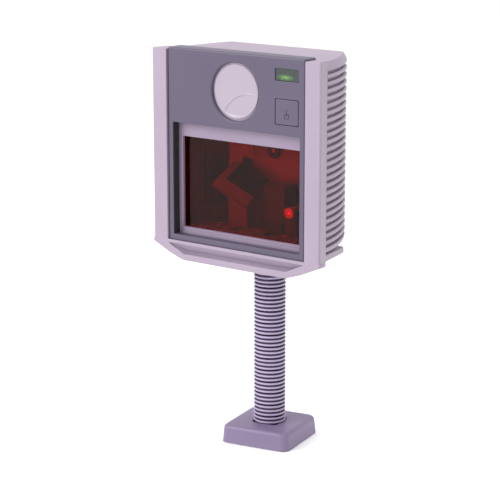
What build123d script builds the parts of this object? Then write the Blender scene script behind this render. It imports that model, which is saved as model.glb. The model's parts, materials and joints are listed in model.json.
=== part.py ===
"""Vertical presentation barcode scanner: a window head on a segmented gooseneck and a counter base.

Frame, in millimetres: the origin is the mast's axis on the counter, +X is the customer's right, -Y
is the side that faces the customer and +Z is up. The head is square to the frame, and the base is
turned a little under it.
"""

import math
import os

from build123d import *

os.makedirs("parts", exist_ok=True)

# ---- front frame of the head ------------------------------------------------------------------
FRONT_Y = -44.35  # front plane of the bumpers
FRAME_BACK_Y = -29.85  # the frame meets the finned shell here
BUMPER_X = 75.4  # half the head's width at its front edge
BUMPER_BACK_X = 71.0  # half its width where the fins begin
SLOT_X = 62.0  # inner faces of the bumpers, each side of the bezel
HEAD_TOP = 296.5
SILL_Z = 154.5  # top of the chin, under the bezel
BUMPER_BOTTOM = 151.7
CHIN_BOTTOM = 140.4
CHIN_HALF = 46.0  # half the length of the chin's flat bottom edge
CHIN_BEND = (60.0, 145.0)  # where the chin's sloping edge changes its slope
CHIN_LEAN = 1.5  # the chin's lower edge stands this far ahead of the bumpers
WALL = 2.5
SCREW_R = 1.5
TAIL_Y, TAIL_X = 17.0, 55.0  # rear corner of the bottom plate
TAIL_FRONT_Z = (152.7, 157.6)  # underside and top of the bottom plate at its front
TAIL_REAR_Z = (149.4, 153.6)  # and at its rear edge
TAIL_INSET = 1.2  # the plate's front corners stand in from the bumpers by this much
KEEL_X, KEEL_BACK, KEEL_TOP = 24.0, 16.0, 153.0  # box under the head that takes the mast
NECK_X, NECK_FRONT, NECK_BACK = 30.0, -27.0, 14.0  # collar between bottom plate and shell

# ---- finned shell -----------------------------------------------------------------------------
SIDE_R = 127.0  # plan radius of the sides
SIDE_LEAN = 7.5  # degrees that the sides lean inward where they begin
CORNER_R = 12.0
CORNER_Y = 22.07  # each side meets its rear corner here
SHELL_BOTTOM = 160.0
SHELL_FLOOR = 2.4
SHELL_WALL = 5.0
FINS = 25
FIN_PITCH = 5.146
SLOT_H = 2.4
TOP_SLOT_Z = 287.9
SLOT_DEPTH = 3.0
SLOT_END_X = 40.0  # the slots stop here on the back
SHOULDER = (2.5, 5.0)  # run and drop of the bevel above the slots
BACK_BEVEL = (9.0, 7.0)  # run and drop of the bevel along the top's rear edge

# ---- bezel and what it holds ------------------------------------------------------------------
BEZEL_X = 61.2
BEZEL_Y = -43.2
BEZEL_BOTTOM, BEZEL_TOP = 154.8, 297.9
BEZEL_T = 2.5
BEZEL_BACK = BEZEL_Y + BEZEL_T
WINDOW_X = 57.0
WINDOW_LOW, WINDOW_HIGH = 159.0, 243.0
BADGE_Z, BADGE_R = 269.9, 20.8
BADGE_GAP, BADGE_DEPTH = 1.1, 1.7  # gap round the disc, and how deep it sits in its hole
LED_X, LED_Z, LED_W, LED_H = 45.7, 285.6, 20.3, 8.8
BUTTON_Z, BUTTON_W, BUTTON_H = 259.4, 20.3, 18.5
BUTTON_GAP = 0.35
BUTTON_TRAVEL = 0.8
BOARD_Y = -36.0  # front face of the indicator board

# ---- window -----------------------------------------------------------------------------------
TRAY_Y, TRAY_T = -36.35, 2.5  # light frame round the glass
GLASS_X = 53.4
GLASS_LOW, GLASS_HIGH = 163.8, 232.0
GLASS_LAP = 2.0  # hidden edge of the glass
GASKET_T, GLASS_T = 0.45, 2.0

# ---- optics -----------------------------------------------------------------------------------
BENCH_Z = 164.8  # top of the bench's floor
BENCH_CEILING = 244.0
BENCH_T = 2.0
BENCH_BACK_Y = 10.0
HUB_X, HUB_Z = 3.0, 221.5  # axis of the spinning mirror
MOTOR_Y = 4.0  # rear face of the motor's carrier plate
SHAFT_R, SHAFT_FIT = 1.5, 0.05
WHEEL_R, WHEEL_T, WHEEL_FACETS = 16.0, 6.0, 6

# ---- mast -------------------------------------------------------------------------------------
RING_R, CORE_R, BORE_R = 12.1, 10.4, 4.0
RING_PITCH, RING_W = 3.04, 1.86
GROOVE = RING_PITCH - RING_W
FIRST_GROOVE_Z = 13.3
ROOT_RINGS, LINK_RINGS, LINKS, TOP_RINGS = 2, 3, 12, 6
BALL_R, SEAT_R = 9.4, 9.45  # a segment's drum, and the seat that it turns in
BALL_H, SEAT_H = 2.5, 3.7
SPIGOT_R, SPIGOT_TOP = 6.0, 156.0
BUSH_R, BUSH_FIT = 8.0, 0.05
FIRST_JOINT_Z = FIRST_GROOVE_Z + ROOT_RINGS * RING_PITCH

# ---- base -------------------------------------------------------------------------------------
BASE_TURN = 9.9  # degrees from the head's axes
BASE_W, BASE_TAPER = 56.0, 5.0
BASE_RIM, BASE_TOP = 0.3, 13.6  # the cover's rim and top above the counter
BASE_CORNER, BASE_WALL = 6.0, 2.2
BASE_HOLE_R = 13.4
BOLT_PCD, BOLT_R = 48.0, 2.3
PAD_W, PAD_T, PLATE_W, PLATE_T = 50.2, 1.2, 49.2, 4.0
STEM_R = 11.0  # plain foot of the mast, inside its socket
SOCKET_OUT_R, SOCKET_TOP = 16.0, 11.2

base_plane = Plane.XY.rotated((0, 0, BASE_TURN))


def save(part, name):
    """Label a finished piece and write it as one STEP file."""
    part.label = name
    export_step(part, f"parts/{name}.step")


def facing(y):
    """Sketch plane at depth y that faces the customer: its x is X and its y is Z."""
    return Plane.XZ.offset(-y)


def panel(x_low, x_high, z_low, z_high):
    """Rectangle between two corners, for sketches on facing()."""
    with Locations(((x_low + x_high) / 2, (z_low + z_high) / 2)):
        Rectangle(x_high - x_low, z_high - z_low)


def block(x_low, x_high, y_low, y_high, z_low, z_high, mode=Mode.ADD):
    """Box between two corners, for the open part."""
    middle = ((x_low + x_high) / 2, (y_low + y_high) / 2, (z_low + z_high) / 2)
    with Locations(middle):
        Box(x_high - x_low, y_high - y_low, z_high - z_low, mode=mode)


def rod(x, y, z_low, z_high, radius, mode=Mode.ADD):
    """Upright cylinder, for the open part."""
    with Locations((x, y, (z_low + z_high) / 2)):
        Cylinder(radius, z_high - z_low, mode=mode)


def pin(x, z, y_front, y_back, radius, mode=Mode.ADD):
    """Cylinder that points at the customer, for the open part."""
    with Locations(Location((x, (y_front + y_back) / 2, z), (90, 0, 0))):
        Cylinder(radius, y_back - y_front, mode=mode)


# ================================ base =========================================================
bolt_places = PolarLocations(BOLT_PCD / 2, 4, start_angle=45)

with BuildPart() as base_pad:
    with BuildSketch(base_plane):
        RectangleRounded(PAD_W, PAD_W, BASE_CORNER - BASE_WALL)
        with bolt_places:
            Circle(BOLT_R, mode=Mode.SUBTRACT)
    extrude(amount=PAD_T)
save(base_pad.part, "base_pad")

with BuildPart() as base_plate:
    with BuildSketch(base_plane.offset(PAD_T)):
        RectangleRounded(PLATE_W, PLATE_W, BASE_CORNER - BASE_WALL)
        with bolt_places:
            Circle(BOLT_R, mode=Mode.SUBTRACT)
    extrude(amount=PLATE_T)
save(base_plate.part, "base_plate")

PLATE_TOP = PAD_T + PLATE_T
with BuildPart() as base_cover:
    with BuildSketch(base_plane.offset(BASE_RIM)):
        RectangleRounded(BASE_W, BASE_W, BASE_CORNER)
    extrude(amount=BASE_TOP - BASE_RIM, taper=BASE_TAPER)
    fillet(base_cover.edges().group_by(Axis.Z)[-1], radius=3.0)
    with BuildSketch(base_plane.offset(BASE_RIM)):
        inside = BASE_W - 2 * BASE_WALL
        RectangleRounded(inside, inside, BASE_CORNER - BASE_WALL)
    extrude(amount=SOCKET_TOP + 0.1 - BASE_RIM, taper=BASE_TAPER, mode=Mode.SUBTRACT)
    with BuildSketch(base_plane):
        Circle(BASE_HOLE_R)
    extrude(amount=BASE_TOP + 1, mode=Mode.SUBTRACT)
save(base_cover.part, "base_cover")

SCREW_Z = (PLATE_TOP + SOCKET_TOP) / 2
SET_SCREW_R = 2.0
set_screw_plane = Plane(base_plane.location * Location((0, 0, SCREW_Z), (0, 90, 0)))

with BuildPart() as mast_socket:
    rod(0, 0, PLATE_TOP, SOCKET_TOP, SOCKET_OUT_R)
    rod(0, 0, PLATE_TOP, SOCKET_TOP, STEM_R, mode=Mode.SUBTRACT)
    with BuildSketch(set_screw_plane):
        Circle(SET_SCREW_R)
    extrude(amount=SOCKET_OUT_R + 1, both=True, mode=Mode.SUBTRACT)
save(mast_socket.part, "mast_socket")

with BuildPart() as set_screws:
    with BuildSketch(set_screw_plane.offset(STEM_R), set_screw_plane.offset(-SOCKET_OUT_R)):
        Circle(SET_SCREW_R)
    extrude(amount=SOCKET_OUT_R - STEM_R)
    rod(0, 0, PLATE_TOP, SOCKET_TOP, STEM_R, mode=Mode.SUBTRACT)
save(set_screws.part, "socket_set_screws")


# ================================ mast =========================================================
def ring_stack(z_low, rings):
    """Profile of the core and its rings above the groove at z_low."""
    height = rings * RING_PITCH
    with Locations(((BORE_R + CORE_R) / 2, z_low + height / 2)):
        Rectangle(CORE_R - BORE_R, height - GROOVE)
    for ring in range(rings):
        with Locations((CORE_R, z_low + (ring + 0.5) * RING_PITCH)):
            RectangleRounded(2 * (RING_R - CORE_R), RING_W, 0.49 * RING_W)


def drum(joint_z):
    """Profile of the ball-shaped drum at a segment's top, centred on its joint."""
    low = -GROOVE / 2
    with BuildLine() as edge:
        side = ThreePointArc(
            (math.sqrt(BALL_R**2 - low**2), joint_z + low),
            (BALL_R, joint_z),
            (math.sqrt(BALL_R**2 - BALL_H**2), joint_z + BALL_H),
        )
        Polyline(side @ 1, (BORE_R, joint_z + BALL_H), (BORE_R, joint_z + low), side @ 0)
    make_face(edge.edges())


def seat(joint_z):
    """Cuts the hollow at a segment's foot that the drum below it turns in."""
    with BuildLine() as edge:
        side = ThreePointArc(
            (SEAT_R, joint_z),
            (math.sqrt(SEAT_R**2 - (SEAT_H / 2) ** 2), joint_z + SEAT_H / 2),
            (math.sqrt(SEAT_R**2 - SEAT_H**2), joint_z + SEAT_H),
        )
        Polyline(side @ 1, (0, joint_z + SEAT_H), (0, joint_z), side @ 0)
    make_face(edge.edges(), mode=Mode.SUBTRACT)


with BuildPart() as mast_root:
    with BuildSketch(Plane.XZ):
        ring_stack(FIRST_GROOVE_Z, ROOT_RINGS)
        panel(BORE_R, STEM_R, PLATE_TOP, FIRST_GROOVE_Z)
        panel(BORE_R, CORE_R, FIRST_GROOVE_Z, FIRST_GROOVE_Z + GROOVE / 2)
        drum(FIRST_JOINT_Z)
    revolve(axis=Axis.Z)
save(mast_root.part, "mast_root")

link_height = LINK_RINGS * RING_PITCH
for link in range(LINKS):
    foot_z = FIRST_JOINT_Z + link * link_height
    is_top = link == LINKS - 1
    with BuildPart() as mast_link:
        with BuildSketch(Plane.XZ):
            ring_stack(foot_z, TOP_RINGS if is_top else LINK_RINGS)
            if not is_top:
                drum(foot_z + link_height)
            seat(foot_z)
        revolve(axis=Axis.Z)
    save(mast_link.part, f"mast_link_{link + 1:02d}")

MAST_TOP = FIRST_JOINT_Z + (LINKS - 1) * link_height + TOP_RINGS * RING_PITCH - GROOVE / 2
SLIP_T, SLIP_GAP = 0.3, 0.2  # nylon washer under the chin, and its clearance
FLANGE_T = CHIN_BOTTOM - SLIP_GAP - SLIP_T - MAST_TOP
KEEL_FLOOR = CHIN_BOTTOM + 3.0
MOUNT_TOP = KEEL_FLOOR + 2.5  # top of the head's steel mount plate
BUSH_TOP = MOUNT_TOP + 1.5

with BuildPart() as mast_ferrule:
    rod(0, 0, MAST_TOP, MAST_TOP + FLANGE_T, CORE_R)
    rod(0, 0, MAST_TOP + FLANGE_T, SPIGOT_TOP, SPIGOT_R)
    rod(0, 0, MAST_TOP, SPIGOT_TOP, BORE_R, mode=Mode.SUBTRACT)
    chamfer(mast_ferrule.edges().group_by(Axis.Z)[-1].sort_by(SortBy.RADIUS)[-1], length=0.6)
save(mast_ferrule.part, "mast_ferrule")

with BuildPart() as slip_washer:
    with BuildSketch(Plane.XY.offset(MAST_TOP + FLANGE_T)):
        Circle(CORE_R)
        Circle(SPIGOT_R, mode=Mode.SUBTRACT)
    extrude(amount=SLIP_T)
save(slip_washer.part, "slip_washer")

with BuildPart() as swivel_washer:
    with BuildSketch(Plane.XY.offset(BUSH_TOP + 0.1)):
        Circle(10.5)
        Circle(SPIGOT_R, mode=Mode.SUBTRACT)
    extrude(amount=0.8)
save(swivel_washer.part, "swivel_washer")

with BuildPart() as swivel_nut:
    with BuildSketch(Plane.XY.offset(BUSH_TOP + 0.9)):
        RegularPolygon(radius=9.5, side_count=6, major_radius=False)
        Circle(SPIGOT_R, mode=Mode.SUBTRACT)
    extrude(amount=5.0)
save(swivel_nut.part, "swivel_nut")

with BuildPart() as swivel_bush:
    rod(0, 0, CHIN_BOTTOM, MOUNT_TOP, BUSH_R)
    rod(0, 0, MOUNT_TOP, BUSH_TOP, 11.0)
    rod(0, 0, CHIN_BOTTOM, BUSH_TOP, SPIGOT_R + BUSH_FIT, mode=Mode.SUBTRACT)
save(swivel_bush.part, "swivel_bush")

MOUNT_SCREWS = [(x, y) for x in (-15.0, 15.0) for y in (-14.0, 10.0)]
SCREW_END_Z = CHIN_BOTTOM + 0.8  # blind holes of the mount screws, in the keel's floor
with BuildPart() as mount_plate:
    block(-20, 20, -20, 13, KEEL_FLOOR, MOUNT_TOP)
    fillet(mount_plate.edges().filter_by(Axis.Z), radius=3.0)
    rod(0, 0, KEEL_FLOOR, MOUNT_TOP, BUSH_R, mode=Mode.SUBTRACT)
    for x, y in MOUNT_SCREWS:
        rod(x, y, KEEL_FLOOR, MOUNT_TOP, SCREW_R, mode=Mode.SUBTRACT)
save(mount_plate.part, "mount_plate")

with BuildPart() as mount_screws:
    for x, y in MOUNT_SCREWS:
        rod(x, y, SCREW_END_Z, MOUNT_TOP, SCREW_R)
        rod(x, y, MOUNT_TOP, MOUNT_TOP + 1.8, 2.7)
save(mount_screws.part, "mount_screws")


# ================================ finned shell =================================================
side_centre = (
    BUMPER_BACK_X - SIDE_R * math.cos(math.radians(SIDE_LEAN)),
    FRAME_BACK_Y - SIDE_R * math.sin(math.radians(SIDE_LEAN)),
)
side_end = math.degrees(math.asin((CORNER_Y - side_centre[1]) / SIDE_R))
corner_reach = SIDE_R - CORNER_R
corner_centre = (
    side_centre[0] + corner_reach * math.cos(math.radians(side_end)),
    side_centre[1] + corner_reach * math.sin(math.radians(side_end)),
)
SHELL_BACK_Y = corner_centre[1] + CORNER_R


def shell_outline(inset, front_y=FRAME_BACK_Y, mode=Mode.ADD):
    """Closed plan outline of the shell, moved inward from its fins' tips."""
    radius = SIDE_R - inset
    side_start = math.degrees(math.asin((front_y - side_centre[1]) / radius))
    with BuildLine() as edge:
        side = CenterArc(side_centre, radius, side_start, side_end - side_start)
        corner = CenterArc(corner_centre, CORNER_R - inset, side_end, 90 - side_end)
        Line(corner @ 1, (0, SHELL_BACK_Y - inset))
        Line((0, front_y), side @ 0)
        mirror(about=Plane.YZ)
    make_face(edge.edges(), mode=mode)


def polygon(*points, mode=Mode.ADD):
    """Face with straight sides between the given points, for the open sketch."""
    with BuildLine() as edge:
        Polyline(*points, close=True)
    make_face(edge.edges(), mode=mode)


HOUSING_SCREWS = [(x, y) for x in (-44.0, 44.0) for y in (-14.0, 4.0)]
BENCH_SCREWS = [(-31.0, -20.0), (31.5, -24.0), (-36.0, 6.0), (36.0, 6.0)]
JACK_X, JACK_Z, JACK_W, JACK_H, JACK_FRONT = 22.0, 173.0, 15.0, 13.0, 16.3
CEILING_Z = HEAD_TOP - BACK_BEVEL[1] - WALL
FLOOR_TOP = SHELL_BOTTOM + SHELL_FLOOR

with BuildPart() as rear_housing:
    band_z = HEAD_TOP - SHOULDER[1]
    with BuildSketch(Plane.XY.offset(SHELL_BOTTOM)):
        shell_outline(0)
    extrude(amount=band_z - SHELL_BOTTOM)
    with BuildSketch(Plane.XY.offset(band_z)):
        shell_outline(0, front_y=FRAME_BACK_Y - 5)
    lean = math.degrees(math.atan(SHOULDER[0] / SHOULDER[1]))
    extrude(amount=SHOULDER[1], taper=lean)
    block(-80, 80, FRAME_BACK_Y - 6, FRAME_BACK_Y, band_z - 1, HEAD_TOP + 1, mode=Mode.SUBTRACT)
    with BuildSketch(Plane.YZ):
        run, drop = BACK_BEVEL
        polygon(
            (SHELL_BACK_Y - run, HEAD_TOP),
            (SHELL_BACK_Y + 1, HEAD_TOP + 1),
            (SHELL_BACK_Y, HEAD_TOP - drop),
        )
    extrude(amount=BUMPER_X, both=True, mode=Mode.SUBTRACT)
    with BuildSketch(Plane.XY.offset(FLOOR_TOP)):
        shell_outline(SHELL_WALL)
    extrude(amount=CEILING_Z - FLOOR_TOP, mode=Mode.SUBTRACT)
    slots = [Plane.XY.offset(TOP_SLOT_Z - SLOT_H / 2 - k * FIN_PITCH) for k in range(FINS)]
    with BuildSketch(*slots):
        shell_outline(-1)
        shell_outline(SLOT_DEPTH, front_y=FRAME_BACK_Y - 1, mode=Mode.SUBTRACT)
        with Locations((0, SHELL_BACK_Y)):
            Rectangle(2 * SLOT_END_X, 4 * SLOT_DEPTH, mode=Mode.SUBTRACT)
    extrude(amount=SLOT_H, mode=Mode.SUBTRACT)
    inner_x = NECK_X - WALL
    block(
        -inner_x,
        inner_x,
        NECK_FRONT + WALL,
        NECK_BACK - WALL,
        SHELL_BOTTOM,
        FLOOR_TOP,
        mode=Mode.SUBTRACT,
    )
    for x, y in HOUSING_SCREWS + BENCH_SCREWS:
        rod(x, y, SHELL_BOTTOM, FLOOR_TOP, SCREW_R, mode=Mode.SUBTRACT)
    with BuildSketch(facing(SHELL_BACK_Y - SHELL_WALL)):
        panel(JACK_X - JACK_W / 2, JACK_X + JACK_W / 2, JACK_Z - JACK_H / 2, JACK_Z + JACK_H / 2)
    extrude(amount=-SHELL_WALL, mode=Mode.SUBTRACT)
save(rear_housing.part, "rear_housing")

# the jack's plug goes in from the back
JACK_BACK = SHELL_BACK_Y - 0.5
PLUG_W, PLUG_H, PLUG_DEPTH = 11.8, 7.0, 9.0
with BuildPart() as cable_jack:
    block(
        JACK_X - JACK_W / 2,
        JACK_X + JACK_W / 2,
        JACK_FRONT,
        JACK_BACK,
        JACK_Z - JACK_H / 2,
        JACK_Z + JACK_H / 2,
    )
    with BuildSketch(facing(JACK_BACK)):
        with Locations((JACK_X, JACK_Z)):
            Rectangle(PLUG_W, PLUG_H)
            with Locations((0, PLUG_H / 2 + 1)):
                Rectangle(5.0, 2.0)
    extrude(amount=PLUG_DEPTH, mode=Mode.SUBTRACT)
save(cable_jack.part, "cable_jack")

# ================================ front frame ==================================================
BUMPER_Z = BUMPER_BOTTOM + 5
CHIN_FRONT_Y = FRONT_Y - CHIN_LEAN
SCOOP_TOP, SCOOP_LOW = 152.0, 145.0
SCOOP_DEPTH, SCOOP_DEEP_Z = 4.7, 146.0  # the scoop's deepest line
SCOOP_AHEAD = 3.0  # the cutting solid reaches this far ahead of the bumpers
SCOOP_X, SCOOP_LOW_X = 60.5, 44.0
SEAT_Z, SEAT_SINK_R = 153.2, 3.2  # seats of the housing screws' heads
bend_x, bend_z = CHIN_BEND
silhouette = [
    (-CHIN_HALF, CHIN_BOTTOM),
    (CHIN_HALF, CHIN_BOTTOM),
    (bend_x, bend_z),
    (BUMPER_X, BUMPER_BOTTOM),
    (BUMPER_X + 1, HEAD_TOP),
    (-BUMPER_X - 1, HEAD_TOP),
    (-BUMPER_X, BUMPER_BOTTOM),
    (-bend_x, bend_z),
]

with BuildPart() as front_housing:
    # bumpers, as a frame that narrows towards the shell
    with BuildSketch(Plane.XY.offset(CHIN_BOTTOM)):
        polygon(
            (-BUMPER_X, FRONT_Y),
            (BUMPER_X, FRONT_Y),
            (BUMPER_BACK_X, FRAME_BACK_Y),
            (-BUMPER_BACK_X, FRAME_BACK_Y),
        )
    extrude(amount=HEAD_TOP - CHIN_BOTTOM)
    front_edges = front_housing.edges().filter_by(Axis.Z).group_by(Axis.Y)[0]
    fillet(front_edges, radius=1.2)
    block(-SLOT_X, SLOT_X, FRONT_Y - 1, FRAME_BACK_Y, SILL_Z, HEAD_TOP, mode=Mode.SUBTRACT)
    for side in (-1, 1):
        with BuildSketch(Plane.XY.offset(BUMPER_Z)):
            polygon(
                (side * (SLOT_X + WALL), FRONT_Y + WALL),
                (side * (BUMPER_X - WALL - 0.6), FRONT_Y + WALL),
                (side * (BUMPER_BACK_X - WALL), FRAME_BACK_Y),
                (side * (SLOT_X + WALL), FRAME_BACK_Y),
            )
        extrude(amount=HEAD_TOP - WALL - BUMPER_Z, mode=Mode.SUBTRACT)
    # chin lip, leaning forward
    with BuildSketch(Plane.YZ):
        polygon(
            (FRONT_Y, SILL_Z),
            (CHIN_FRONT_Y, CHIN_BOTTOM + 0.8),
            (CHIN_FRONT_Y + 0.8, CHIN_BOTTOM),
            (FRONT_Y + 5, CHIN_BOTTOM),
            (FRONT_Y + 5, SILL_Z),
        )
    extrude(amount=BUMPER_X, both=True)
    with BuildSketch(facing(FRAME_BACK_Y)):
        polygon(*silhouette)
    extrude(amount=FRAME_BACK_Y - CHIN_FRONT_Y + 1, mode=Mode.INTERSECT)
    # scoop along the chin
    with BuildPart(mode=Mode.PRIVATE) as scoop:
        with BuildSketch(Plane.YZ):
            rise = SCOOP_AHEAD * (SCOOP_TOP - SCOOP_DEEP_Z) / SCOOP_DEPTH
            polygon(
                (FRONT_Y - SCOOP_AHEAD, SCOOP_TOP + rise),
                (FRONT_Y + SCOOP_DEPTH, SCOOP_DEEP_Z),
                (FRONT_Y - SCOOP_AHEAD, SCOOP_LOW),
            )
        extrude(amount=SCOOP_X + 2, both=True)
        with BuildSketch(facing(FRONT_Y)):
            polygon(
                (-SCOOP_X, SCOOP_TOP),
                (SCOOP_X, SCOOP_TOP),
                (SCOOP_LOW_X, SCOOP_LOW - 1),
                (-SCOOP_LOW_X, SCOOP_LOW - 1),
            )
        extrude(amount=10, both=True, mode=Mode.INTERSECT)
    add(scoop.part, mode=Mode.SUBTRACT)
    # bottom plate that runs back under the shell
    with BuildPart(mode=Mode.PRIVATE) as tail:
        with BuildSketch(Plane.YZ):
            polygon(
                (FRAME_BACK_Y - 4, TAIL_FRONT_Z[0]),
                (FRAME_BACK_Y, TAIL_FRONT_Z[0]),
                (TAIL_Y, TAIL_REAR_Z[0]),
                (TAIL_Y, TAIL_REAR_Z[1]),
                (FRAME_BACK_Y, TAIL_FRONT_Z[1]),
                (FRAME_BACK_Y - 4, TAIL_FRONT_Z[1]),
            )
        extrude(amount=BUMPER_X, both=True)
        with BuildSketch(Plane.XY.offset(CHIN_BOTTOM)):
            tail_front_x = BUMPER_BACK_X - TAIL_INSET
            polygon(
                (-tail_front_x, FRAME_BACK_Y - 4),
                (tail_front_x, FRAME_BACK_Y - 4),
                (tail_front_x, FRAME_BACK_Y),
                (TAIL_X + 1.5, TAIL_Y - 3),
                (TAIL_X - 1.5, TAIL_Y),
                (-TAIL_X + 1.5, TAIL_Y),
                (-TAIL_X - 1.5, TAIL_Y - 3),
                (-tail_front_x, FRAME_BACK_Y),
            )
        extrude(amount=SHELL_BOTTOM - CHIN_BOTTOM, mode=Mode.INTERSECT)
        block(
            -SLOT_X,
            SLOT_X,
            FRAME_BACK_Y - 5,
            FRAME_BACK_Y,
            SILL_Z,
            SHELL_BOTTOM,
            mode=Mode.SUBTRACT,
        )
    add(tail.part)
    # keel, neck and their hollow
    block(-KEEL_X, KEEL_X, FRAME_BACK_Y - 4, KEEL_BACK, CHIN_BOTTOM, KEEL_TOP)
    block(-NECK_X, NECK_X, NECK_FRONT, NECK_BACK, KEEL_TOP, SHELL_BOTTOM)
    block(
        -KEEL_X + WALL,
        KEEL_X - WALL,
        NECK_FRONT + WALL,
        KEEL_BACK - WALL,
        KEEL_FLOOR,
        KEEL_TOP - 1,
        mode=Mode.SUBTRACT,
    )
    block(
        -KEEL_X + WALL,
        KEEL_X - WALL,
        NECK_FRONT + WALL,
        NECK_BACK - WALL,
        KEEL_TOP - 2,
        SHELL_BOTTOM,
        mode=Mode.SUBTRACT,
    )
    rod(0, 0, CHIN_BOTTOM, KEEL_FLOOR, BUSH_R, mode=Mode.SUBTRACT)
    for x, y in MOUNT_SCREWS:
        rod(x, y, SCREW_END_Z, KEEL_FLOOR, SCREW_R, mode=Mode.SUBTRACT)
    for x, y in HOUSING_SCREWS:
        rod(x, y, KEEL_TOP - 1, SHELL_BOTTOM, SEAT_SINK_R + 0.8)
        rod(x, y, CHIN_BOTTOM, SHELL_BOTTOM, SCREW_R, mode=Mode.SUBTRACT)
        rod(x, y, CHIN_BOTTOM, SEAT_Z, SEAT_SINK_R, mode=Mode.SUBTRACT)
save(front_housing.part, "front_housing")

with BuildPart() as housing_screws:
    for x, y in HOUSING_SCREWS:
        rod(x, y, SEAT_Z - 2, SEAT_Z, SEAT_SINK_R - 0.4)
        rod(x, y, SEAT_Z, FLOOR_TOP - 0.1, SCREW_R)
save(housing_screws.part, "housing_screws")


# ================================ bezel and controls ===========================================
WELL_WALL = 2.0
BOSS_R, BOSS_HOLE_R = 2.2, 1.0
BEZEL_BOSSES = [(LED_X - 7.7, 274.4), (LED_X + 7.7, 274.4)]
BUTTON_FLANGE = 0.8  # how far the button's hidden rim laps the bezel

with BuildPart() as front_bezel:
    with BuildSketch(facing(BEZEL_Y)):
        panel(-BEZEL_X, BEZEL_X, BEZEL_BOTTOM, BEZEL_TOP)
    extrude(amount=-BEZEL_T)
    block(-BEZEL_X, BEZEL_X, BEZEL_BACK, FRAME_BACK_Y, BEZEL_TOP - WALL, BEZEL_TOP)
    fillet(front_bezel.edges().filter_by(Axis.Y).group_by(Axis.Z)[-1], radius=1.6)
    rim = front_bezel.edges().group_by(Axis.Y)[0]
    fillet(rim.group_by(Axis.Z)[-1], radius=1.2)
    with BuildSketch(facing(BEZEL_BACK)):
        panel(-WINDOW_X - WELL_WALL, WINDOW_X + WELL_WALL, WINDOW_LOW - 2, WINDOW_HIGH + 2)
    extrude(amount=-(TRAY_Y - 0.3 - BEZEL_BACK))
    for x, z in BEZEL_BOSSES:
        pin(x, z, BEZEL_BACK, BOARD_Y, BOSS_R)
        pin(x, z, BEZEL_BACK, BOARD_Y, BOSS_HOLE_R, mode=Mode.SUBTRACT)
    with BuildSketch(facing(BEZEL_Y - 1)):
        panel(-WINDOW_X, WINDOW_X, WINDOW_LOW, WINDOW_HIGH)
        with Locations((0, BADGE_Z)):
            Circle(BADGE_R)
        with Locations((LED_X, LED_Z)):
            RectangleRounded(LED_W, LED_H, 0.6)
        with Locations((LED_X, BUTTON_Z)):
            RectangleRounded(BUTTON_W, BUTTON_H, 0.8)
    extrude(amount=-10, mode=Mode.SUBTRACT)
    badge_rim = front_bezel.edges().filter_by(GeomType.CIRCLE).filter_by(
        lambda edge: abs(edge.radius - BADGE_R) < 0.01
    )
    chamfer(badge_rim.sort_by(Axis.Y)[0], length=1.0)
save(front_bezel.part, "front_bezel")

ARC_X, ARC_DROP, ARC_R = 12.1, 26.1, 25.2  # the arc that bounds the disc's lower level
with BuildPart() as badge_disc:
    pin(0, BADGE_Z, BEZEL_Y + BADGE_DEPTH, BEZEL_BACK, BADGE_R - BADGE_GAP)
    pin(0, BADGE_Z, BEZEL_BACK, BEZEL_BACK + 1.5, BADGE_R + 2.0)
    front_edge = badge_disc.edges().group_by(Axis.Y)[0]
    fillet(front_edge, radius=0.6)
    with BuildSketch(facing(BEZEL_Y + BADGE_DEPTH)):
        with Locations((ARC_X, BADGE_Z - ARC_DROP)):
            Circle(ARC_R)
        with Locations((0, BADGE_Z)):
            Circle(BADGE_R - BADGE_GAP - 1.3, mode=Mode.INTERSECT)
    extrude(amount=-0.35, mode=Mode.SUBTRACT)
save(badge_disc.part, "badge_disc")

with BuildPart() as led_lens:
    with BuildSketch(facing(BEZEL_Y + 0.6)):
        with Locations((LED_X, LED_Z)):
            RectangleRounded(LED_W - 0.3, LED_H - 0.3, 0.5)
    extrude(amount=-(BEZEL_T - 0.6))
    with BuildSketch(facing(BEZEL_BACK)):
        with Locations((LED_X, LED_Z)):
            Rectangle(LED_W + 2, LED_H + 2)
    extrude(amount=-1.0)
save(led_lens.part, "led_lens")

with BuildPart() as power_button:
    with BuildSketch(facing(BEZEL_Y)):
        with Locations((LED_X, BUTTON_Z)):
            RectangleRounded(BUTTON_W - 2 * BUTTON_GAP, BUTTON_H - 2 * BUTTON_GAP, 0.6)
    extrude(amount=-(BEZEL_T + 0.1))
    chamfer(power_button.edges().group_by(Axis.Y)[0], length=0.3)
    with BuildSketch(facing(BEZEL_BACK + 0.1)):
        with Locations((LED_X, BUTTON_Z)):
            Rectangle(BUTTON_W + 2 * BUTTON_FLANGE, BUTTON_H + 2 * BUTTON_FLANGE)
    extrude(amount=-1.2)
    # engraved power symbol
    with BuildSketch(facing(BEZEL_Y)):
        with Locations((LED_X, BUTTON_Z - 3.0)):
            Circle(2.3)
            Circle(1.6, mode=Mode.SUBTRACT)
            with Locations((0, 1.9)):
                Rectangle(2.2, 1.6, mode=Mode.SUBTRACT)
        with Locations((LED_X, BUTTON_Z - 0.4)):
            Rectangle(0.7, 4.4)
    extrude(amount=-0.4, mode=Mode.SUBTRACT)
save(power_button.part, "power_button")

BOARD_T = 1.6
BOARD_W, BOARD_LOW, BOARD_HIGH = 23.6, 247.5, 291.5
with BuildPart() as indicator_board:
    board_right = LED_X + BOARD_W / 2
    block(board_right - BOARD_W, board_right, BOARD_Y, BOARD_Y + BOARD_T, BOARD_LOW, BOARD_HIGH)
    for x, z in BEZEL_BOSSES:
        pin(x, z, BOARD_Y, BOARD_Y + BOARD_T, BOSS_HOLE_R, mode=Mode.SUBTRACT)
save(indicator_board.part, "indicator_board")

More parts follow.
